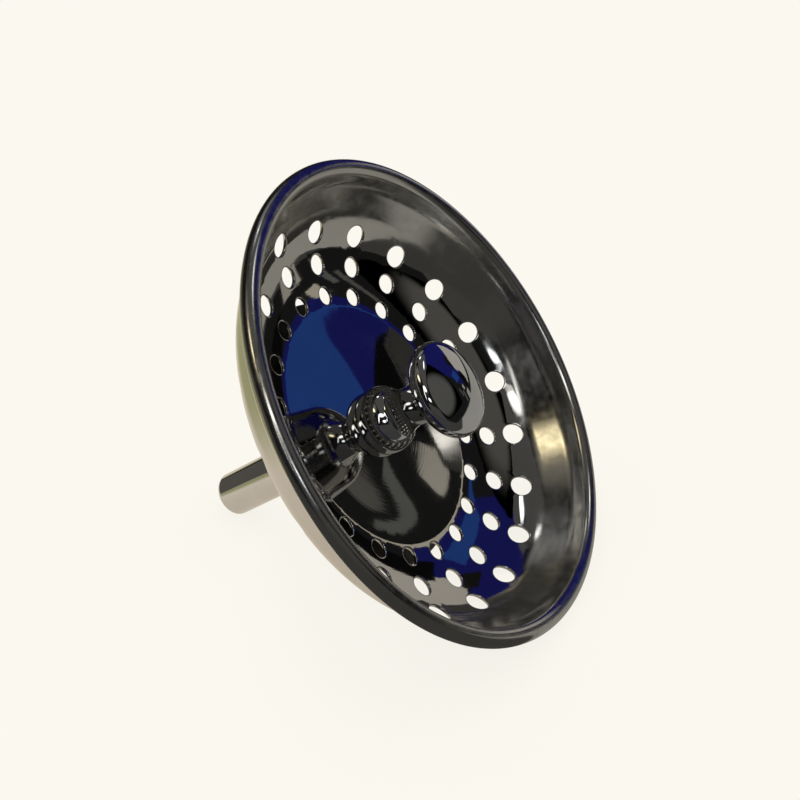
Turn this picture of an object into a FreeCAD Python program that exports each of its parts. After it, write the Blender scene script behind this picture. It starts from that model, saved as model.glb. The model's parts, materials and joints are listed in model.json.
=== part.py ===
import FreeCAD, Part
import math
import os

from FreeCAD import Vector

# Basket strainer for a kitchen sink waste, in millimetres.
# The pieces are turned about Z, with the knob at the top and zero in the post's shoulder plane.
# The whole is then laid on a level surface, where it rests on its rim and on the end of its post.

# Pressed basket
rim_diameter = 84.0
sheet = 0.6
bowl_depth = 14.8           # from the floor to the top of the rolled rim
rim_roll_radius = 0.85      # outside of the curl
rim_roll_end = 115.0        # degrees below the horizontal where the curl stops
lip_width = 3.35            # from the rim's outside in to the crease under the lip
lip_height = 3.25           # from the rim's top down to that crease
wall_angle = 64.0           # wall above the horizontal
corner_radius = 10.0        # inside corner between the dished floor and the wall
dish_radius = 33.4          # gentle rise round the flat middle of the floor
dish_rise = 1.55            # lowest point of the corner's circle above the floor

# Drain holes, three rows in line with each other, each row measured inwards from the rim
holes_per_row = 20
outer_row_inset = 8.25
outer_hole_diameter = 3.8
middle_row_inset = 13.25
middle_hole_diameter = 3.4
inner_row_inset = 18.55
inner_hole_diameter = 3.0

# Knob
knob_height = 18.5          # from the basket's floor
head_diameter = 16.6
head_half_height = 3.4
head_edge_radius = 2.0
neck_diameter = 6.8
neck_waist_height = 7.7     # narrowest place above the floor
neck_head_flare = 1.4       # widening of the neck under the head
neck_foot_flare = 0.7       # widening of the neck above the foot
foot_diameter = 11.5
foot_height = 4.8
foot_edge = 1.3             # the foot bead's seat is this much smaller all round

# Rubber stopper
stopper_diameter = 48.4
stopper_height = 4.8        # clamped between the washer and the floor
stopper_hub_diameter = 16.0
stopper_edge_drop = 3.8     # top of the edge below the basket's underside
stopper_edge_thickness = 1.5

# Washer under the stopper
washer_diameter = 22.0
washer_thickness = 1.2
washer_chamfer = 0.2
washer_margin = 1.0         # flat rubber round the washer

# Post and the spigot that clamps the stack
post_diameter = 8.0
post_length = 31.2
post_end_radius = 1.0
spigot_diameter = 4.0
spigot_engagement = 9.0     # length inside the knob
spigot_chamfer = 0.4
spigot_clearance = 0.1      # all round the spigot, in every hole
bore_end_gap = 1.0          # between the spigot's end and the end of the knob's bore
drill_point_angle = 59.0    # half the angle of the bore's drilled point

# Levels of the clamped stack, up from the post's shoulder
washer_top = washer_thickness
floor_underside = washer_top + stopper_height
floor_top = floor_underside + sheet
rim_top = floor_top + bowl_depth

rim_radius = rim_diameter / 2
punch_travel = 4 * sheet    # each way from the sheet's upper face
bore_radius = spigot_diameter / 2 + spigot_clearance


def point(r, z):
    return Vector(r, 0, z)


def polar(centre, radius, angle):
    """Point on a circle of the section, with the angle in degrees above the horizontal."""
    turn = math.radians(angle)
    return point(centre.x + radius * math.cos(turn), centre.z + radius * math.sin(turn))


def line(start, end):
    return Part.LineSegment(start, end).toShape()


def arc(start, middle, end):
    return Part.Arc(start, middle, end).toShape()


def polar_arc(centre, radius, start, end):
    middle = (start + end) / 2
    return arc(polar(centre, radius, start), polar(centre, radius, middle), polar(centre, radius, end))


def outline(points):
    return [line(start, end) for start, end in zip(points, points[1:])]


def turned(edges):
    """Solid of revolution about Z of a closed half section."""
    section = Part.Face(Part.Wire(edges))
    return section.revolve(Vector(0, 0, 0), Vector(0, 0, 1), 360)


# Centre of the rounding at the post's end
end_centre = point(post_diameter / 2 - post_end_radius, post_end_radius - post_length)

# The basket's upper surface is a chain of tangent stretches: flat floor, dish, corner, wall, then the lip
# from a faint crease to the roll. Angles give each circle's point where one stretch meets the next.
crease = point(rim_radius - lip_width, rim_top - lip_height)
roll_centre = point(rim_radius - rim_roll_radius, rim_top - rim_roll_radius)

wall_slope = math.radians(wall_angle)
corner_level = floor_top + dish_rise + corner_radius
corner_reach = (corner_radius - (corner_level - crease.z) * math.cos(wall_slope)) / math.sin(wall_slope)
corner_centre = point(crease.x - corner_reach, corner_level)

centre_distance = dish_radius - corner_radius
dish_run = math.sqrt(centre_distance ** 2 - (centre_distance - dish_rise) ** 2)
dish_centre = point(corner_centre.x - dish_run, floor_top + dish_radius)
dish_angle = math.degrees(math.asin(dish_run / centre_distance))

to_roll = roll_centre - crease
lip_angle = math.degrees(math.atan2(to_roll.z, to_roll.x) + math.asin(rim_roll_radius / to_roll.Length))


def sheet_side(depth):
    """Edges of one side of the sheet, from the centre hole to the end of the curl."""
    floor_start = point(bore_radius, floor_top - depth)
    dish = polar_arc(dish_centre, dish_radius + depth, -90, dish_angle - 90)
    corner = polar_arc(corner_centre, corner_radius + depth, dish_angle - 90, wall_angle - 90)
    roll = polar_arc(roll_centre, rim_roll_radius - depth, lip_angle + 90, -rim_roll_end)
    half_bend = math.radians(wall_angle - lip_angle) / 2
    crease_point = polar(crease, depth / math.cos(half_bend), (wall_angle + lip_angle) / 2 - 90)
    floor = line(floor_start, dish.firstVertex().Point)
    wall = line(corner.lastVertex().Point, crease_point)
    lip = line(crease_point, roll.firstVertex().Point)
    return [floor, dish, corner, wall, lip, roll]


def surface_at(radius):
    """Point of the basket's upper surface at a radius, and its slope in degrees."""
    if radius < dish_centre.x:
        return point(radius, floor_top), 0.0
    if radius < polar(dish_centre, dish_radius, dish_angle - 90).x:
        slope = math.degrees(math.asin((radius - dish_centre.x) / dish_radius))
        return polar(dish_centre, dish_radius, slope - 90), slope
    if radius < polar(corner_centre, corner_radius, wall_angle - 90).x:
        slope = math.degrees(math.asin((radius - corner_centre.x) / corner_radius))
        return polar(corner_centre, corner_radius, slope - 90), slope
    return point(radius, crease.z - (crease.x - radius) * math.tan(wall_slope)), wall_angle


def hole_row(inset, diameter):
    """Punches for one row, each square to the sheet."""
    place, slope = surface_at(rim_radius - inset)
    start = polar(place, punch_travel, slope - 90)
    punch = Part.makeCylinder(diameter / 2, 2 * punch_travel, start, place - start)
    punches = []
    for step in range(holes_per_row):
        turned_punch = punch.copy()
        turned_punch.rotate(Vector(0, 0, 0), Vector(0, 0, 1), step * 360 / holes_per_row)
        punches.append(turned_punch)
    return punches


def make_basket():
    upper = sheet_side(0)
    lower = sheet_side(sheet)
    centre_hole = line(lower[0].firstVertex().Point, upper[0].firstVertex().Point)
    curl_end = line(upper[-1].lastVertex().Point, lower[-1].lastVertex().Point)
    bowl = turned([centre_hole] + upper + [curl_end] + lower[::-1])
    punches = hole_row(outer_row_inset, outer_hole_diameter)
    punches += hole_row(middle_row_inset, middle_hole_diameter)
    punches += hole_row(inner_row_inset, inner_hole_diameter)
    return bowl.cut(punches)


def make_knob():
    foot_radius = foot_diameter / 2
    neck_radius = neck_diameter / 2
    head_centre = point(0, floor_top + knob_height - head_half_height)
    seat_edge = point(foot_radius - foot_edge, floor_top)
    foot_side = point(foot_radius, floor_top + foot_height / 2)
    foot_top = point(neck_radius + neck_foot_flare, floor_top + foot_height)
    waist = point(neck_radius, floor_top + neck_waist_height)
    edge_centre = head_centre + point(head_diameter / 2 - head_edge_radius, 0)
    edge_rise = head_half_height - head_edge_radius
    dome_radius = (edge_centre.x ** 2 + head_half_height ** 2 - head_edge_radius ** 2) / (2 * edge_rise)
    dome_depth = dome_radius - head_half_height
    dome_centre = head_centre - point(0, dome_depth)
    under_centre = head_centre + point(0, dome_depth)
    edge_turn = math.degrees(math.atan2(dome_depth, edge_centre.x))
    neck_end_angle = -math.degrees(math.acos((neck_radius + neck_head_flare) / dome_radius))
    head_under = polar_arc(under_centre, dome_radius, neck_end_angle, -edge_turn)
    head_edge = polar_arc(edge_centre, head_edge_radius, -edge_turn, edge_turn)
    head_dome = polar_arc(dome_centre, dome_radius, edge_turn, 90)
    neck_end = head_under.firstVertex().Point
    head_top = head_dome.lastVertex().Point
    bore_end = floor_top + spigot_engagement + bore_end_gap
    drill_point = bore_end + bore_radius / math.tan(math.radians(drill_point_angle))
    bore = outline([
        head_top,
        point(0, drill_point),
        point(bore_radius, bore_end),
        point(bore_radius, floor_top),
        seat_edge,
    ])
    foot = arc(seat_edge, foot_side, foot_top)
    neck = arc(foot_top, waist, neck_end)
    return turned(bore + [foot, neck, head_under, head_edge, head_dome])


def make_stopper():
    edge_radius = stopper_diameter / 2
    edge_top = floor_underside - stopper_edge_drop
    edge_half = stopper_edge_thickness / 2
    seat_edge = point(washer_diameter / 2 + washer_margin, washer_top)
    edge_lower = point(edge_radius - edge_half, edge_top - stopper_edge_thickness)
    edge_outer = point(edge_radius, edge_top - edge_half)
    edge_upper = point(edge_radius - edge_half, edge_top)
    hub_edge = point(stopper_hub_diameter / 2, floor_underside)
    hole_upper = point(bore_radius, floor_underside)
    hole_lower = point(bore_radius, washer_top)
    underside = outline([hole_lower, seat_edge, edge_lower])
    top_side = outline([edge_upper, hub_edge, hole_upper, hole_lower])
    return turned(underside + [arc(edge_lower, edge_outer, edge_upper)] + top_side)


def make_washer():
    radius = washer_diameter / 2
    return turned(outline([
        point(bore_radius, 0),
        point(radius - washer_chamfer, 0),
        point(radius, washer_chamfer),
        point(radius, washer_top - washer_chamfer),
        point(radius - washer_chamfer, washer_top),
        point(bore_radius, washer_top),
        point(bore_radius, 0),
    ]))


def make_post():
    radius = post_diameter / 2
    spigot_radius = spigot_diameter / 2
    spigot_top = floor_top + spigot_engagement
    end_round = polar_arc(end_centre, post_end_radius, -90, 0)
    sides = outline([
        end_round.lastVertex().Point,
        point(radius, 0),
        point(spigot_radius, 0),
        point(spigot_radius, spigot_top - spigot_chamfer),
        point(spigot_radius - spigot_chamfer, spigot_top),
        point(0, spigot_top),
        point(0, -post_length),
        end_round.firstVertex().Point,
    ])
    return turned([end_round] + sides)


def lay_down(shape):
    """Tip a piece with the whole about Y, then set the two places that touch on the surface."""
    shape.rotate(Vector(0, 0, 0), Vector(0, 1, 0), 90 - lying_angle)
    shape.translate(Vector(-middle, 0, -lowest))


# The surface touches the roll of the rim and the rounded end of the post
between = roll_centre - end_centre
radius_step = math.asin((rim_roll_radius - post_end_radius) / between.Length)
lying_angle = math.degrees(math.atan2(between.x, between.z) + radius_step)
rise = math.sin(math.radians(lying_angle))
run = math.cos(math.radians(lying_angle))
lowest = end_centre.z * rise - end_centre.x * run - post_end_radius
post_reach = end_centre.z * run - end_centre.x * rise - post_end_radius
rim_reach = roll_centre.z * run + roll_centre.x * rise + rim_roll_radius
middle = (post_reach + rim_reach) / 2

os.makedirs("parts", exist_ok=True)
pieces = {
    "knob": make_knob(),
    "basket": make_basket(),
    "stopper": make_stopper(),
    "stopper_washer": make_washer(),
    "post": make_post(),
}
for name, shape in pieces.items():
    lay_down(shape)
    print(name, "valid" if shape.isValid() else "not valid", round(shape.Volume, 2), "mm3")
    shape.exportStep(os.path.join("parts", name + ".step"))
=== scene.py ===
import bpy, bmesh, json, math
from mathutils import Matrix, Vector


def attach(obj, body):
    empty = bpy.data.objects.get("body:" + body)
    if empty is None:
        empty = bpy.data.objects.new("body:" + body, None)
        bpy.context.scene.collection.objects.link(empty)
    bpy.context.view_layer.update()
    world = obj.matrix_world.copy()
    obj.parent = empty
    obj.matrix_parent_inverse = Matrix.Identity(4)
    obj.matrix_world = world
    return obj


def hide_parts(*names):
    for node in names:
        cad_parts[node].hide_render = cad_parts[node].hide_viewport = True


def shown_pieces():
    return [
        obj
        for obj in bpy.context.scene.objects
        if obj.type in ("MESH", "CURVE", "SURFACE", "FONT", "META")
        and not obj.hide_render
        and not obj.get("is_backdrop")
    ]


# Sink basket strainer, lying on its rim and on the end of its post.
# Pieces are drawn upright in millimetres, the post's shoulder at zero, and laid down at the end.
mm = 0.001

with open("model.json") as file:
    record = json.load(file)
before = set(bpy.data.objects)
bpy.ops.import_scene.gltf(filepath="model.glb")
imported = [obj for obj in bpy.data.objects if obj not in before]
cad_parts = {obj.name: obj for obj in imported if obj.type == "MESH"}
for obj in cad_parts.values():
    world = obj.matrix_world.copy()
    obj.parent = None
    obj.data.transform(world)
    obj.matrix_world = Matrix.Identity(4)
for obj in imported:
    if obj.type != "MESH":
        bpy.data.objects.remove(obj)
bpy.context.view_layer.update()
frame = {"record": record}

postMount = next(m for m in frame["record"]["mounts"] if m["name"] == "post")
shoulder = Vector(postMount["pos_m"])
up = -Vector(postMount["axis"]).normalized()
side = Vector((0, 1, 0))
turnDown = Matrix((side.cross(up), side, up)).transposed()
lay = Matrix.Translation(shoulder) @ turnDown.to_4x4() @ Matrix.Scale(mm, 4)
print("frame loaded")

# levels of the clamped stack above the shoulder
stack = {"washerTop": 1.2, "floorUnder": 6.0, "floorTop": 6.6, "rimTop": 21.4, "bore": 2.1}


def lineTo(bm, last, r, z, cuts=0):
    start, end = last.co.copy(), Vector((r, 0, z))
    for step in range(1, cuts + 2):
        last = bmesh.ops.extrude_vert_indiv(bm, verts=[last])["verts"][0]
        last.co = start.lerp(end, step / (cuts + 1))
    return last


def arcTo(bm, last, centre, degrees, steps):
    swept = bmesh.ops.spin(bm, geom=[last], cent=(centre[0], 0, centre[1]), axis=(0, -1, 0),
                           angle=math.radians(degrees), steps=steps)
    return swept["geom_last"][0]


def arcThrough(bm, last, middle, end, steps):
    # circle through the last vertex and two more points of the section
    a, b, c = Vector((last.co.x, last.co.z)), Vector(middle), Vector(end)
    ab, ac = b - a, c - a
    d = 2 * (ab.x * ac.y - ab.y * ac.x)
    centre = a + Vector((ac.y * ab.length_squared - ab.y * ac.length_squared,
                         ab.x * ac.length_squared - ac.x * ab.length_squared)) / d
    start = math.atan2(a.y - centre.y, a.x - centre.x)
    stop = math.atan2(c.y - centre.y, c.x - centre.x)
    sweep = (stop - start) % math.tau if d > 0 else -((start - stop) % math.tau)
    return arcTo(bm, last, centre, math.degrees(sweep), steps)


def turnSection(bm, steps):
    bmesh.ops.spin(bm, geom=bm.verts[:] + bm.edges[:], cent=(0, 0, 0), axis=(0, 0, 1),
                   angle=math.tau, steps=steps, use_merge=True)
    bmesh.ops.remove_doubles(bm, verts=bm.verts, dist=0.0005)
    bmesh.ops.recalc_face_normals(bm, faces=bm.faces)


def finishPiece(bm, name, node, material):
    bm.transform(lay)
    mesh = bpy.data.meshes.new(name)
    bm.to_mesh(mesh)
    bm.free()
    mesh.shade_smooth()
    mesh.materials.append(material)
    piece = bpy.data.objects.new(name, mesh)
    bpy.context.scene.collection.objects.link(piece)
    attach(piece, "root")
    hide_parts(node)
    return piece


def roundEdges(piece, width, segments, angle=35):
    bevel = piece.modifiers.new("edges", "BEVEL")
    bevel.width = width * mm
    bevel.segments = segments
    bevel.limit_method = "ANGLE"
    bevel.angle_limit = math.radians(angle)
    bevel.use_clamp_overlap = True
    weighted = piece.modifiers.new("normals", "WEIGHTED_NORMAL")
    weighted.weight = 50
    weighted.keep_sharp = False


# materials, all on axis-centred millimetres

def newMaterial(name):
    material = bpy.data.materials.new(name)
    material.use_nodes = True
    tree = material.node_tree
    shader = tree.nodes["Principled BSDF"]
    coords = tree.nodes.new("ShaderNodeTexCoord")
    mapping = tree.nodes.new("ShaderNodeMapping")
    mapping.vector_type = "TEXTURE"
    mapping.inputs["Location"].default_value = shoulder
    mapping.inputs["Rotation"].default_value = turnDown.to_euler()
    mapping.inputs["Scale"].default_value = (mm, mm, mm)
    tree.links.new(coords.outputs["Object"], mapping.inputs["Vector"])
    return material, tree, shader, mapping.outputs["Vector"]


def addNoise(tree, vector, scale, detail=2, rough=0.5):
    noise = tree.nodes.new("ShaderNodeTexNoise")
    noise.inputs["Scale"].default_value = scale
    noise.inputs["Detail"].default_value = detail
    noise.inputs["Roughness"].default_value = rough
    tree.links.new(vector, noise.inputs["Vector"])
    return noise.outputs["Fac"]


def addRange(tree, value, fromMin, fromMax, toMin, toMax, smooth=False):
    span = tree.nodes.new("ShaderNodeMapRange")
    span.interpolation_type = "SMOOTHSTEP" if smooth else "LINEAR"
    limits = {"From Min": fromMin, "From Max": fromMax, "To Min": toMin, "To Max": toMax}
    for name, number in limits.items():
        span.inputs[name].default_value = number
    tree.links.new(value, span.inputs["Value"])
    return span.outputs["Result"]


def addMath(tree, kind, a, b):
    node = tree.nodes.new("ShaderNodeMath")
    node.operation = kind
    for socket, value in zip(node.inputs, (a, b)):
        if isinstance(value, (int, float)):
            socket.default_value = value
        else:
            tree.links.new(value, socket)
    return node.outputs["Value"]


def addRadius(tree, vector):
    flat = tree.nodes.new("ShaderNodeVectorMath")
    flat.operation = "MULTIPLY"
    flat.inputs[1].default_value = (1, 1, 0)
    tree.links.new(vector, flat.inputs[0])
    length = tree.nodes.new("ShaderNodeVectorMath")
    length.operation = "LENGTH"
    tree.links.new(flat.outputs["Vector"], length.inputs[0])
    return length.outputs["Value"]


def stretchVector(tree, vector, x, y, z):
    scaled = tree.nodes.new("ShaderNodeVectorMath")
    scaled.operation = "MULTIPLY"
    scaled.inputs[1].default_value = (x, y, z)
    tree.links.new(vector, scaled.inputs[0])
    return scaled.outputs["Vector"]


def addBump(tree, shader, height, distance, before=None):
    bump = tree.nodes.new("ShaderNodeBump")
    bump.inputs["Strength"].default_value = 1.0
    bump.inputs["Distance"].default_value = distance
    tree.links.new(height, bump.inputs["Height"])
    if before:
        tree.links.new(before, bump.inputs["Normal"])
    tree.links.new(bump.outputs["Normal"], shader.inputs["Normal"])
    return bump.outputs["Normal"]


def addTint(tree, shader, value, low, high):
    ramp = tree.nodes.new("ShaderNodeValToRGB")
    ramp.color_ramp.elements[0].color = (*low, 1)
    ramp.color_ramp.elements[1].color = (*high, 1)
    tree.links.new(value, ramp.inputs["Fac"])
    tree.links.new(ramp.outputs["Color"], shader.inputs["Base Color"])


def ringNoise(tree, radius, perMm):
    rings = tree.nodes.new("ShaderNodeTexNoise")
    rings.noise_dimensions = "1D"
    rings.inputs["Scale"].default_value = perMm
    rings.inputs["Detail"].default_value = 3
    tree.links.new(radius, rings.inputs["W"])
    return rings.outputs["Fac"]


basketFinish = {"dark": (0.50, 0.49, 0.47), "light": (0.60, 0.59, 0.565),
                "floorRough": 0.035, "wallRough": 0.17, "lipRough": 0.2,
                # radii between which the polish turns satin, the lip duller and the streaks visible
                "satinSpan": (33, 37), "lipSpan": (38.4, 40.2), "streakSpan": (32, 35),
                "cloudScale": 0.12, "smearScale": 0.5, "smearFrom": (0.35, 0.75), "smearTo": (0.8, 1.5),
                "rippleScale": 0.16, "ripple": 0.00001, "ringScale": 3.0, "rings": 0.0000012,
                "streakScale": 0.9, "streaks": 0.000006,
                # faint fall of the floor from its centre, easing out between two radii
                "crownFall": 0.059, "crownEven": 16.5, "crownEnd": 23.0}


def makeBasketSteel():
    f = basketFinish
    material, tree, shader, place = newMaterial("polishedPressedSteel")
    shader.inputs["Metallic"].default_value = 1.0
    radius = addRadius(tree, place)
    cloud = addNoise(tree, place, f["cloudScale"], 3)
    addTint(tree, shader, cloud, f["dark"], f["light"])
    satin = addRange(tree, radius, *f["satinSpan"], f["floorRough"], f["wallRough"], True)
    lip = addRange(tree, radius, *f["lipSpan"], 1.0, f["lipRough"] / f["wallRough"], True)
    satin = addMath(tree, "MULTIPLY", satin, lip)
    film = addNoise(tree, place, f["smearScale"], 4, 0.6)
    smear = addRange(tree, film, *f["smearFrom"], *f["smearTo"])
    tree.links.new(addMath(tree, "MULTIPLY", satin, smear), shader.inputs["Roughness"])
    even, end = f["crownEven"], f["crownEnd"]
    inEven = addRange(tree, radius, 0, even, even, 0)
    inEnd = addRange(tree, radius, 0, end, end, 0)
    evenSquare = addMath(tree, "MULTIPLY", inEven, inEven)
    endSquare = addMath(tree, "MULTIPLY", inEnd, inEnd)
    height = addMath(tree, "SUBTRACT", endSquare, evenSquare)
    height = addMath(tree, "MULTIPLY", height, f["crownFall"] / 2 / (end - even))
    crown = addBump(tree, shader, height, mm)
    ripple = addBump(tree, shader, addNoise(tree, place, f["rippleScale"], 1), f["ripple"], crown)
    rings = addBump(tree, shader, ringNoise(tree, radius, f["ringScale"]), f["rings"], ripple)
    onWall = addRange(tree, radius, *f["streakSpan"], 0, 1, True)
    streaks = addMath(tree, "MULTIPLY", ringNoise(tree, radius, f["streakScale"]), onWall)
    addBump(tree, shader, streaks, f["streaks"], rings)
    return material


chromeFinish = {"dark": (0.55, 0.55, 0.56), "light": (0.66, 0.66, 0.66), "tintScale": 0.25,
                "rough": (0.03, 0.07), "filmScale": 0.8, "filmFrom": (0.3, 0.75),
                "waveScale": 0.35, "wave": 0.00002}


def makeChrome(name, lengthwise):
    f = chromeFinish
    material, tree, shader, place = newMaterial(name)
    shader.inputs["Metallic"].default_value = 1.0
    addTint(tree, shader, addNoise(tree, place, f["tintScale"], 3), f["dark"], f["light"])
    drawn = stretchVector(tree, place, 1, 1, lengthwise)
    film = addNoise(tree, drawn, f["filmScale"], 4, 0.6)
    tree.links.new(addRange(tree, film, *f["filmFrom"], *f["rough"]), shader.inputs["Roughness"])
    addBump(tree, shader, addNoise(tree, drawn, f["waveScale"], 1), f["wave"])
    return material


rubberFinish = {"dark": (0.006, 0.006, 0.007), "light": (0.016, 0.016, 0.017), "tintScale": 0.4,
                "shine": 0.4, "rough": (0.42, 0.7), "filmScale": 0.9, "filmFrom": (0.3, 0.7),
                "grainScale": 6.0, "grain": 0.00001}


def makeRubber():
    f = rubberFinish
    material, tree, shader, place = newMaterial("blackRubber")
    shader.inputs["Specular IOR Level"].default_value = f["shine"]
    addTint(tree, shader, addNoise(tree, place, f["tintScale"], 4, 0.6), f["dark"], f["light"])
    film = addNoise(tree, place, f["filmScale"], 3)
    tree.links.new(addRange(tree, film, *f["filmFrom"], *f["rough"]), shader.inputs["Roughness"])
    addBump(tree, shader, addNoise(tree, place, f["grainScale"], 3), f["grain"])
    return material


washerFinish = {"dark": (0.42, 0.42, 0.41), "light": (0.55, 0.54, 0.53), "tintScale": 0.5,
                "rough": (0.22, 0.34), "ringScale": 6.0, "ringsFrom": (0.3, 0.7), "rings": 0.000006}


def makeWasherSteel():
    f = washerFinish
    material, tree, shader, place = newMaterial("turnedWasherSteel")
    shader.inputs["Metallic"].default_value = 1.0
    addTint(tree, shader, addNoise(tree, place, f["tintScale"], 3), f["dark"], f["light"])
    rings = ringNoise(tree, addRadius(tree, place), f["ringScale"])
    tree.links.new(addRange(tree, rings, *f["ringsFrom"], *f["rough"]), shader.inputs["Roughness"])
    addBump(tree, shader, rings, f["rings"])
    return material


# pressed basket: one hole column is laid out flat, bent to the section and repeated round the axis

basket = {"rimRadius": 42.0, "sheet": 0.6, "rollRadius": 1.5, "rollEnd": 122.0, "rimLift": 0.25,
          "lipWidth": 3.35, "lipHeight": 3.25, "wallAngle": 64.0, "cornerRadius": 10.0,
          "dishRadius": 33.4, "dishRise": 1.55, "creaseRun": 1.8, "edgeRound": 0.17,
          # hole rows: inset from the rim, hole, cells across its patch
          "columns": 20, "rows": ((18.55, 3.0, 12), (13.25, 3.4, 10), (8.25, 3.8, 10)),
          # mesh: cells in a column, rows before each patch and along the later stretches,
          # rings outside a hole's edge, weld and the radius taken as plain floor
          "cells": 20, "gapRows": (6, 2, 3), "stretchRows": (6, 3, 6, 3, 32),
          "punched": (0.3, 0.0), "weld": 0.002, "plainFloor": 18.0}


def basketSection(b):
    # start of the floor, then each stretch as length and bend, positive upwards
    wall = math.radians(b["wallAngle"])
    creaseR, creaseZ = b["rimRadius"] - b["lipWidth"], stack["rimTop"] - b["lipHeight"]
    cornerZ = stack["floorTop"] + b["dishRise"] + b["cornerRadius"]
    cornerR = creaseR - (b["cornerRadius"] - (cornerZ - creaseZ) * math.cos(wall)) / math.sin(wall)
    apart = b["dishRadius"] - b["cornerRadius"]
    run = math.sqrt(apart ** 2 - (apart - b["dishRise"]) ** 2)
    dish = math.asin(run / apart)
    wallStart = Vector((cornerR + b["cornerRadius"] * math.sin(wall),
                        cornerZ - b["cornerRadius"] * math.cos(wall)))
    wallLength = (Vector((creaseR, creaseZ)) - wallStart).length
    toRoll = Vector((b["rimRadius"] - b["rollRadius"] - creaseR,
                     stack["rimTop"] + b["rimLift"] - b["rollRadius"] - creaseZ))
    lip = math.atan2(toRoll.y, toRoll.x) + math.asin(b["rollRadius"] / toRoll.length)
    lipLength = math.sqrt(toRoll.length_squared - b["rollRadius"] ** 2)
    cut = b["creaseRun"] / (lip - wall) * math.tan((lip - wall) / 2)
    return [(cornerR - run - stack["bore"], 0.0),
            (dish * b["dishRadius"], 1 / b["dishRadius"]),
            ((wall - dish) * b["cornerRadius"], 1 / b["cornerRadius"]),
            (wallLength - cut, 0.0),
            (b["creaseRun"], (lip - wall) / b["creaseRun"]),
            (lipLength - cut, 0.0),
            ((lip + math.radians(90 + b["rollEnd"])) * b["rollRadius"], -1 / b["rollRadius"])]


def alongSection(stretches, s):
    # radius, height and heading of the inner face at a length along the section
    r, z, heading = stack["bore"], stack["floorTop"], 0.0
    for length, bend in stretches:
        step = min(s, length)
        turn = step * bend
        if bend:
            r += (math.sin(heading + turn) - math.sin(heading)) / bend
            z += (math.cos(heading) - math.cos(heading + turn)) / bend
        else:
            r += step * math.cos(heading)
            z += step * math.sin(heading)
        heading += turn
        s -= step
        if s <= 0:
            break
    return r, z, heading


def reachOf(stretches, radius):
    # length along the section at a radius, by halving
    low, high = 0.0, sum(length for length, bend in stretches[:5])
    for step in range(40):
        middle = (low + high) / 2
        if alongSection(stretches, middle)[0] < radius:
            low = middle
        else:
            high = middle
    return low


def spread(start, end, count):
    return [start + (end - start) * step / count for step in range(1, count + 1)]


def squareToRound(u, v):
    # even turn round a hole for a point on the edge of its square patch
    if abs(u) >= abs(v):
        return math.pi / 4 * v / u + (0 if u > 0 else math.pi)
    return -math.pi / 4 * u / v + (math.pi / 2 if v > 0 else -math.pi / 2)


def makeBasket(material):
    b = basket
    stretches = basketSection(b)
    sector = math.tau / b["columns"]
    patches = []
    for inset, hole, across in b["rows"]:
        radius = b["rimRadius"] - inset
        half = sector * across / b["cells"] * radius / 2
        patches.append((reachOf(stretches, radius), hole / 2, across, half))
    ends = []
    for length, bend in stretches:
        ends.append(length + (ends[-1] if ends else 0.0))
    levels = [0.0]
    for (middle, hole, across, half), gap in zip(patches, b["gapRows"]):
        levels += spread(levels[-1], middle - half, gap)
        levels += spread(middle - half, middle + half, across)
    for end, count in zip(ends[2:], b["stretchRows"]):
        levels += spread(levels[-1], end, count)

    bm = bmesh.new()
    rows = len(levels) - 1
    bmesh.ops.create_grid(bm, x_segments=b["cells"], y_segments=rows, size=0.5)
    for v in bm.verts:
        s = levels[round((v.co.y + 0.5) * rows)]
        v.co = (v.co.x * sector * alongSection(stretches, s)[0], s, 0)

    for middle, hole, across, half in patches:
        reach = sector * across / b["cells"] / 2
        gone = []
        for f in bm.faces:
            x, s = f.calc_center_median().xy
            if abs(s - middle) < half and abs(x / alongSection(stretches, s)[0]) < reach:
                gone.append(f)
        rim = set(e for f in gone for e in f.edges if sum(g in gone for g in e.link_faces) == 1)
        bmesh.ops.delete(bm, geom=gone, context="FACES")
        loop = [e for e in rim if e.is_valid]
        for extra in b["punched"]:
            grown = bmesh.ops.extrude_edge_only(bm, edges=loop)["geom"]
            fresh = set(v for v in grown if isinstance(v, bmesh.types.BMVert))
            for v in fresh:
                if extra == b["punched"][0]:
                    u = v.co.x / alongSection(stretches, v.co.y)[0] / reach
                    turn = squareToRound(u, (v.co.y - middle) / half)
                else:
                    turn = math.atan2(v.co.y - middle, v.co.x)
                v.co = ((hole + extra) * math.cos(turn), middle + (hole + extra) * math.sin(turn), 0)
            edges = [e for e in grown if isinstance(e, bmesh.types.BMEdge)]
            loop = [e for e in edges if all(v in fresh for v in e.verts)]

    for v in bm.verts:
        x, s = v.co.xy
        r, z, heading = alongSection(stretches, s)
        v.co = (r * math.cos(x / r), r * math.sin(x / r), z)
    bmesh.ops.spin(bm, geom=bm.verts[:] + bm.edges[:] + bm.faces[:], cent=(0, 0, 0), axis=(0, 0, 1),
                   angle=math.tau - sector, steps=b["columns"] - 1, use_duplicate=True)
    bmesh.ops.remove_doubles(bm, verts=bm.verts, dist=b["weld"])
    bmesh.ops.recalc_face_normals(bm, faces=bm.faces)
    floorFaces = [f for f in bm.faces if f.calc_center_median().length < b["plainFloor"]]
    if sum(f.normal.z * f.calc_area() for f in floorFaces) < 0:
        bmesh.ops.reverse_faces(bm, faces=bm.faces)
    piece = finishPiece(bm, "basket_pressed", "basket", material)
    wall = piece.modifiers.new("sheet", "SOLIDIFY")
    wall.thickness = b["sheet"] * mm
    wall.offset = -1
    roundEdges(piece, b["edgeRound"], 2, 40)
    return piece


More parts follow.
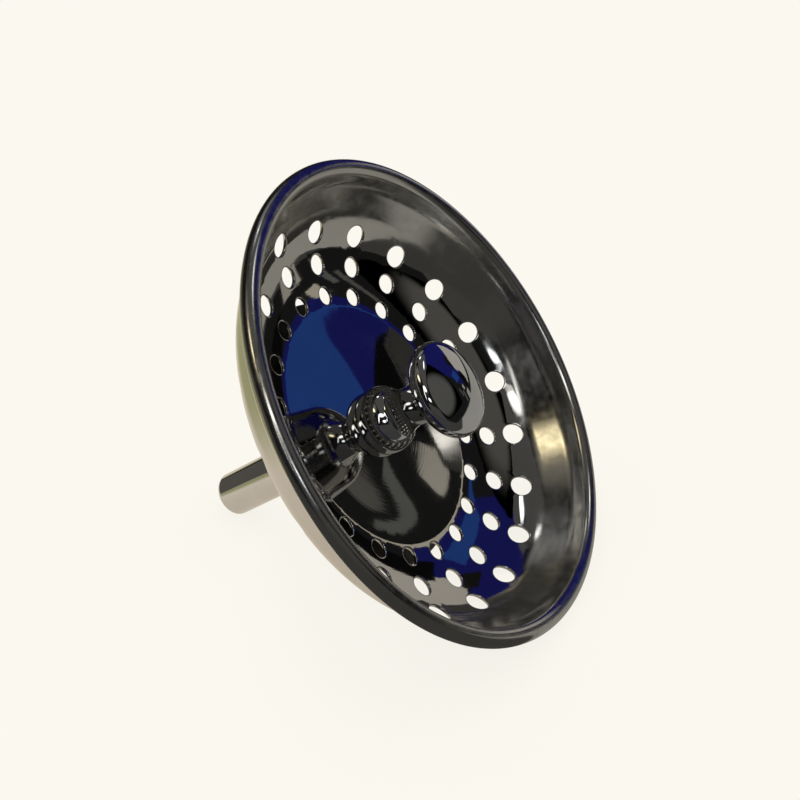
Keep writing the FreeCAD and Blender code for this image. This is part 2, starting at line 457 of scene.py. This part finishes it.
knob = {"height": 18.5, "headDiameter": 16.6, "headHalf": 3.4, "headEdge": 2.0,
        "neckDiameter": 6.8, "waist": 7.7, "headFlare": 1.4, "footFlare": 0.7,
        "footDiameter": 11.5, "footHeight": 4.8, "footEdge": 0.1, "footRound": 0.71,
        "boreDepth": 10.0, "drillAngle": 59.0, "edgeRound": 0.22, "steps": 128}


def makeKnob(material):
    k = knob
    base = stack["floorTop"]
    bm = bmesh.new()
    foot, neck = k["footDiameter"] / 2, k["neckDiameter"] / 2
    edgeR = k["headDiameter"] / 2 - k["headEdge"]
    headZ = base + k["height"] - k["headHalf"]
    dome = (edgeR ** 2 + k["headHalf"] ** 2 - k["headEdge"] ** 2) / (2 * (k["headHalf"] - k["headEdge"]))
    depth = dome - k["headHalf"]
    edgeTurn = math.degrees(math.atan2(depth, edgeR))
    underStart = -math.degrees(math.acos((neck + k["headFlare"]) / dome))
    neckTop = headZ + depth + dome * math.sin(math.radians(underStart))
    drillTip = base + k["boreDepth"] + stack["bore"] / math.tan(math.radians(k["drillAngle"]))
    last = bm.verts.new((0, 0, drillTip))
    last = lineTo(bm, last, stack["bore"], base + k["boreDepth"])
    last = lineTo(bm, last, stack["bore"], base)
    last = lineTo(bm, last, foot - k["footEdge"], base)
    footTop = neck + k["footFlare"]
    footMiddle = (footTop + (foot - footTop) * k["footRound"],
                  base + k["footHeight"] * k["footRound"])
    last = arcThrough(bm, last, footMiddle, (footTop, base + k["footHeight"]), 24)
    last = arcThrough(bm, last, (neck, base + k["waist"]), (neck + k["headFlare"], neckTop), 24)
    last = arcTo(bm, last, (0, headZ + depth), -edgeTurn - underStart, 10)
    last = arcTo(bm, last, (edgeR, headZ), 2 * edgeTurn, 22)
    last = arcTo(bm, last, (0, headZ - depth), 90 - edgeTurn, 18)
    last.co.x = 0
    turnSection(bm, k["steps"])
    piece = finishPiece(bm, "knob_turned", "knob", material)
    roundEdges(piece, k["edgeRound"], 4)
    return piece


stopper = {"diameter": 48.4, "hub": 16.0, "drop": 3.8, "edge": 1.5, "seat": 24.0,
           "edgeRound": 0.35, "steps": 160}


def makeStopper(material):
    p = stopper
    half, edgeTop = p["edge"] / 2, stack["floorUnder"] - p["drop"]
    outer = p["diameter"] / 2
    bm = bmesh.new()
    last = bm.verts.new((stack["bore"], 0, stack["washerTop"]))
    last = lineTo(bm, last, p["seat"] / 2, stack["washerTop"], 3)
    last = lineTo(bm, last, outer - half, edgeTop - p["edge"], 4)
    last = arcTo(bm, last, (outer - half, edgeTop - half), 180, 14)
    last = lineTo(bm, last, p["hub"] / 2, stack["floorUnder"], 6)
    last = lineTo(bm, last, stack["bore"], stack["floorUnder"], 2)
    lineTo(bm, last, stack["bore"], stack["washerTop"])
    turnSection(bm, p["steps"])
    piece = finishPiece(bm, "stopper_rubber", "stopper", material)
    roundEdges(piece, p["edgeRound"], 3, 18)
    return piece


washer = {"diameter": 22.0, "edgeRound": 0.2, "steps": 128}


def makeWasher(material):
    bm = bmesh.new()
    last = bm.verts.new((stack["bore"], 0, 0))
    last = lineTo(bm, last, washer["diameter"] / 2, 0, 3)
    last = lineTo(bm, last, washer["diameter"] / 2, stack["washerTop"])
    last = lineTo(bm, last, stack["bore"], stack["washerTop"], 3)
    lineTo(bm, last, stack["bore"], 0)
    turnSection(bm, washer["steps"])
    piece = finishPiece(bm, "stopper_washer_turned", "stopper_washer", material)
    roundEdges(piece, washer["edgeRound"], 2)
    return piece


postRod = {"diameter": 8.0, "length": 31.2, "endRound": 1.0, "spigot": 4.0, "engagement": 9.0,
           "chamfer": 0.4, "edgeRound": 0.12, "steps": 128}


def makePost(material):
    p = postRod
    radius, spigot = p["diameter"] / 2, p["spigot"] / 2
    top = stack["floorTop"] + p["engagement"]
    bm = bmesh.new()
    last = bm.verts.new((0, 0, -p["length"]))
    last = lineTo(bm, last, radius - p["endRound"], -p["length"], 2)
    last = arcTo(bm, last, (radius - p["endRound"], p["endRound"] - p["length"]), 90, 12)
    last = lineTo(bm, last, radius, 0, 8)
    last = lineTo(bm, last, spigot, 0)
    last = lineTo(bm, last, spigot, top - p["chamfer"], 3)
    last = lineTo(bm, last, spigot - p["chamfer"], top)
    lineTo(bm, last, 0, top)
    turnSection(bm, p["steps"])
    piece = finishPiece(bm, "post_rod", "post", material)
    roundEdges(piece, p["edgeRound"], 2, 40)
    return piece


makeKnob(makeChrome("knobChrome", 1.0))
print("knob turned")
makeBasket(makeBasketSteel())
print("basket pressed and punched")
makeStopper(makeRubber())
makeWasher(makeWasherSteel())
makePost(makeChrome("postChrome", 0.12))
print("stopper, washer and post made")


# studio: a pale floor, a pale sweep far behind it, and cards that only the metal sees

def stageObject(bm, name, material, matrix):
    mesh = bpy.data.meshes.new(name)
    bm.to_mesh(mesh)
    bm.free()
    mesh.materials.append(material)
    thing = bpy.data.objects.new(name, mesh)
    thing.matrix_world = matrix
    bpy.context.scene.collection.objects.link(thing)
    thing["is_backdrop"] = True
    return thing


def glow(name, colour, strength, soft=0.0, lamp=False):
    material = bpy.data.materials.new(name)
    material.use_nodes = True
    tree = material.node_tree
    tree.nodes.clear()
    output = tree.nodes.new("ShaderNodeOutputMaterial")
    light = tree.nodes.new("ShaderNodeEmission")
    light.inputs["Color"].default_value = (*colour, 1)
    light.inputs["Strength"].default_value = strength
    if soft:
        coords = tree.nodes.new("ShaderNodeTexCoord")
        fall = tree.nodes.new("ShaderNodeTexGradient")
        fall.gradient_type = "SPHERICAL"
        tree.links.new(coords.outputs["Object"], fall.inputs["Vector"])
        faded = addRange(tree, fall.outputs["Fac"], 0.0, soft, 0.0, strength, True)
        tree.links.new(faded, light.inputs["Strength"])
    tree.links.new(light.outputs["Emission"], output.inputs["Surface"])
    material.cycles.emission_sampling = "AUTO" if lamp else "NONE"
    return material


studio = {"floorSize": 4.0, "floorDrop": 0.0005, "floorColour": (0.965, 0.939, 0.871),
          "contact": 0.10, "contactReach": 0.025, "sweepRadius": 6.0, "sweepCuts": 4,
          "room": (0.012, 0.012, 0.012),
          "shade": (0.06, 0.059, 0.055), "shadeSize": 1.4, "shadeDrop": 0.002,
          "tableSize": 0.9, "tableDrop": 0.001, "tableTurn": 30.0, "tableOver": 0.03,
          "cardsAway": 1.2, "cardsApart": 0.01,
          # table colour along its own length in metres, from the left of the part to the right
          "table": ((-0.12, (0.40, 0.385, 0.23)), (-0.09, (0.50, 0.49, 0.27)),
                    (-0.06, (0.83, 0.74, 0.60)), (-0.02, (0.72, 0.63, 0.50)),
                    (0.025, (0.36, 0.345, 0.31))),
          # name, azimuth and elevation from the part, width and height, all in degrees,
          # then colour, strength, tilt and soft edge
          "cards": (("ceiling", 90, 89, 78, 78, (0.09, 0.089, 0.086), 1.0, 0, 0),
                    ("ceilingLeft", 225, 63, 56, 34, (0.21, 0.20, 0.175), 1.0, 0, 0.7),
                    ("blueCloth", 78.5, 34, 57, 44, (0.011, 0.012, 0.115), 1.0, 0, 0),
                    ("blueLow", 93, 8, 20, 12, (0.012, 0.012, 0.07), 1.0, 0, 0),
                    ("blueFold", 53, 20, 9, 7, (0.018, 0.055, 0.24), 1.0, -20, 0),
                    ("darkFold", 66, 22.5, 9, 8.5, (0.010, 0.0098, 0.009), 1.0, 0, 0),
                    ("darkGap", 61, 10, 7, 9.5, (0.004, 0.004, 0.004), 1.0, 0, 0),
                    ("paleBlock", 73.5, 12.5, 21, 19, (0.47, 0.44, 0.39), 1.0, 0, 0),
                    ("paleEdge", 53.8, 2.5, 5, 6, (0.37, 0.35, 0.30), 1.0, 0, 0),
                    ("slatOne", 46.4, 6.5, 1.8, 9, (0.105, 0.11, 0.10), 1.0, 0, 0),
                    ("slatTwo", 43.4, 12, 1.5, 7, (0.10, 0.095, 0.085), 1.0, 0, 0),
                    ("slatThree", 51.2, 10.7, 2.6, 3.4, (0.47, 0.44, 0.36), 1.0, 0, 0),
                    ("greyWall", 14, 32, 50, 48, (0.10, 0.098, 0.09), 1.0, 0, 0.35),
                    ("frontGrey", 318, 0, 60, 46, (0.07, 0.069, 0.065), 1.0, 0, 0),
                    ("frontPale", 304, -9, 18, 10, (0.17, 0.168, 0.155), 1.0, 0, 0.6),
                    ("leftDim", 195, 9, 80, 20, (0.11, 0.10, 0.085), 1.0, 0, 0),
                    ("backGrey", 128, 50, 32, 22, (0.24, 0.245, 0.25), 1.0, 0, 0.6),
                    ("backLamp", 129, 63, 12, 7, (1.0, 1.0, 1.0), 2.6, 0, 0.5),
                    ("stripLamp", 50, 66, 18, 9, (0.95, 0.98, 1.0), 3.0, 0, 0.5),
                    ("windowHigh", 303, 53, 26, 14, (1.0, 0.99, 0.96), 3.2, 0, 0.5),
                    ("windowLow", 313, 34, 18, 10, (0.9, 0.95, 1.0), 3.0, 0, 0.5),
                    ("windowStrip", 287, 42, 5, 36, (1.0, 0.99, 0.96), 2.5, 0, 0.5),
                    ("warmLamp", 240, 60, 26, 12, (1.0, 0.86, 0.54), 3.0, 0, 0.6))}


def addPlane(name, material, size, matrix, shift=(0, 0, 0)):
    bm = bmesh.new()
    bmesh.ops.create_grid(bm, x_segments=1, y_segments=1, size=size)
    bmesh.ops.translate(bm, verts=bm.verts, vec=shift)
    return stageObject(bm, name, material, matrix)


def makeFloor(s):
    material = glow("paleFloor", s["floorColour"], 1.0)
    tree = material.node_tree
    contact = tree.nodes.new("ShaderNodeAmbientOcclusion")     # faint shade where the part touches
    contact.inputs["Distance"].default_value = s["contactReach"]
    tone = addRange(tree, contact.outputs["AO"], 0, 1, 1 - s["contact"], 1)
    tree.links.new(tone, tree.nodes["Emission"].inputs["Strength"])
    floor = addPlane("floor", material, s["floorSize"], Matrix.Translation((0, 0, -s["floorDrop"])))
    floor.visible_glossy = floor.visible_diffuse = False
    bm = bmesh.new()
    bmesh.ops.create_icosphere(bm, subdivisions=s["sweepCuts"], radius=s["sweepRadius"])
    sweep = stageObject(bm, "sweep", glow("paleSweep", s["floorColour"], 1.0), Matrix.Identity(4))
    sweep.visible_glossy = sweep.visible_diffuse = sweep.visible_shadow = False


def makeTable(s):
    shadeMaterial = glow("tableShade", s["shade"], 1.0)
    under = Matrix.Translation((0, 0, -s["shadeDrop"]))
    shade = addPlane("tableShade", shadeMaterial, s["shadeSize"], under)
    material = glow("tableTan", (1, 1, 1), 1.0)
    tree = material.node_tree
    coords = tree.nodes.new("ShaderNodeTexCoord")
    split = tree.nodes.new("ShaderNodeSeparateXYZ")
    blend = tree.nodes.new("ShaderNodeValToRGB")
    first, last = s["table"][0][0], s["table"][-1][0]
    stops = blend.color_ramp.elements
    while len(stops) < len(s["table"]):
        stops.new(0.5)
    for stop, (place, colour) in zip(stops, s["table"]):
        stop.position = (place - first) / (last - first)
        stop.color = (*colour, 1)
    tree.links.new(coords.outputs["Object"], split.inputs["Vector"])
    tree.links.new(addRange(tree, split.outputs["X"], first, last, 0, 1), blend.inputs["Fac"])
    tree.links.new(blend.outputs["Color"], tree.nodes["Emission"].inputs["Color"])
    turn = Matrix.Rotation(math.radians(s["tableTurn"]), 4, "Z")
    shift = (0, s["tableSize"] - s["tableOver"], -s["tableDrop"])
    table = addPlane("table", material, s["tableSize"], turn, shift)
    for thing in (shade, table):
        thing.visible_camera = thing.visible_shadow = False


def makeCards(s):
    for order, card in enumerate(s["cards"]):
        name, azimuth, elevation, width, height, colour, strength, tilt, soft = card
        az, el = math.radians(azimuth), math.radians(elevation)
        direction = Vector((math.cos(el) * math.cos(az), math.cos(el) * math.sin(az), math.sin(el)))
        aim = direction.to_track_quat("Z", "Y").to_matrix().to_4x4()
        aim = aim @ Matrix.Rotation(math.radians(tilt), 4, "Z")
        away = s["cardsAway"] - order * s["cardsApart"]     # later cards hang in front of earlier ones
        across = away * math.tan(math.radians(width / 2))
        tall = away * math.tan(math.radians(height / 2))
        matrix = Matrix.Translation(direction * away) @ aim @ Matrix.Diagonal((across, tall, 1, 1))
        thing = addPlane(name, glow(name, colour, strength, soft, strength > 1), 1.0, matrix)
        thing.visible_camera = thing.visible_shadow = False


def makeRoom(s):
    world = bpy.data.worlds.new("room")
    world.use_nodes = True
    background = world.node_tree.nodes["Background"]
    background.inputs["Color"].default_value = (*s["room"], 1)
    background.inputs["Strength"].default_value = 1.0
    bpy.context.scene.world = world


makeFloor(studio)
makeTable(studio)
makeCards(studio)
makeRoom(studio)
print("studio set")

view = {"place": (0.07366, -0.163451, 0.131288), "turn": (60.608, 0.198, 23.676),
        "lens": 55.75, "sensor": 36, "clip": (0.005, 30)}
camera = bpy.data.cameras.new("camera")
camera.lens = view["lens"]
camera.sensor_width = view["sensor"]
camera.clip_start, camera.clip_end = view["clip"]
cameraObject = bpy.data.objects.new("camera", camera)
cameraObject.location = view["place"]
cameraObject.rotation_euler = [math.radians(v) for v in view["turn"]]
bpy.context.scene.collection.objects.link(cameraObject)
bpy.context.scene.camera = cameraObject
bpy.context.scene.view_settings.view_transform = "Standard"

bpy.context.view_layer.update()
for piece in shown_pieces():
    mesh = piece.evaluated_get(bpy.context.evaluated_depsgraph_get()).data
    print(piece.name, sum(len(f.vertices) - 2 for f in mesh.polygons), "triangles")
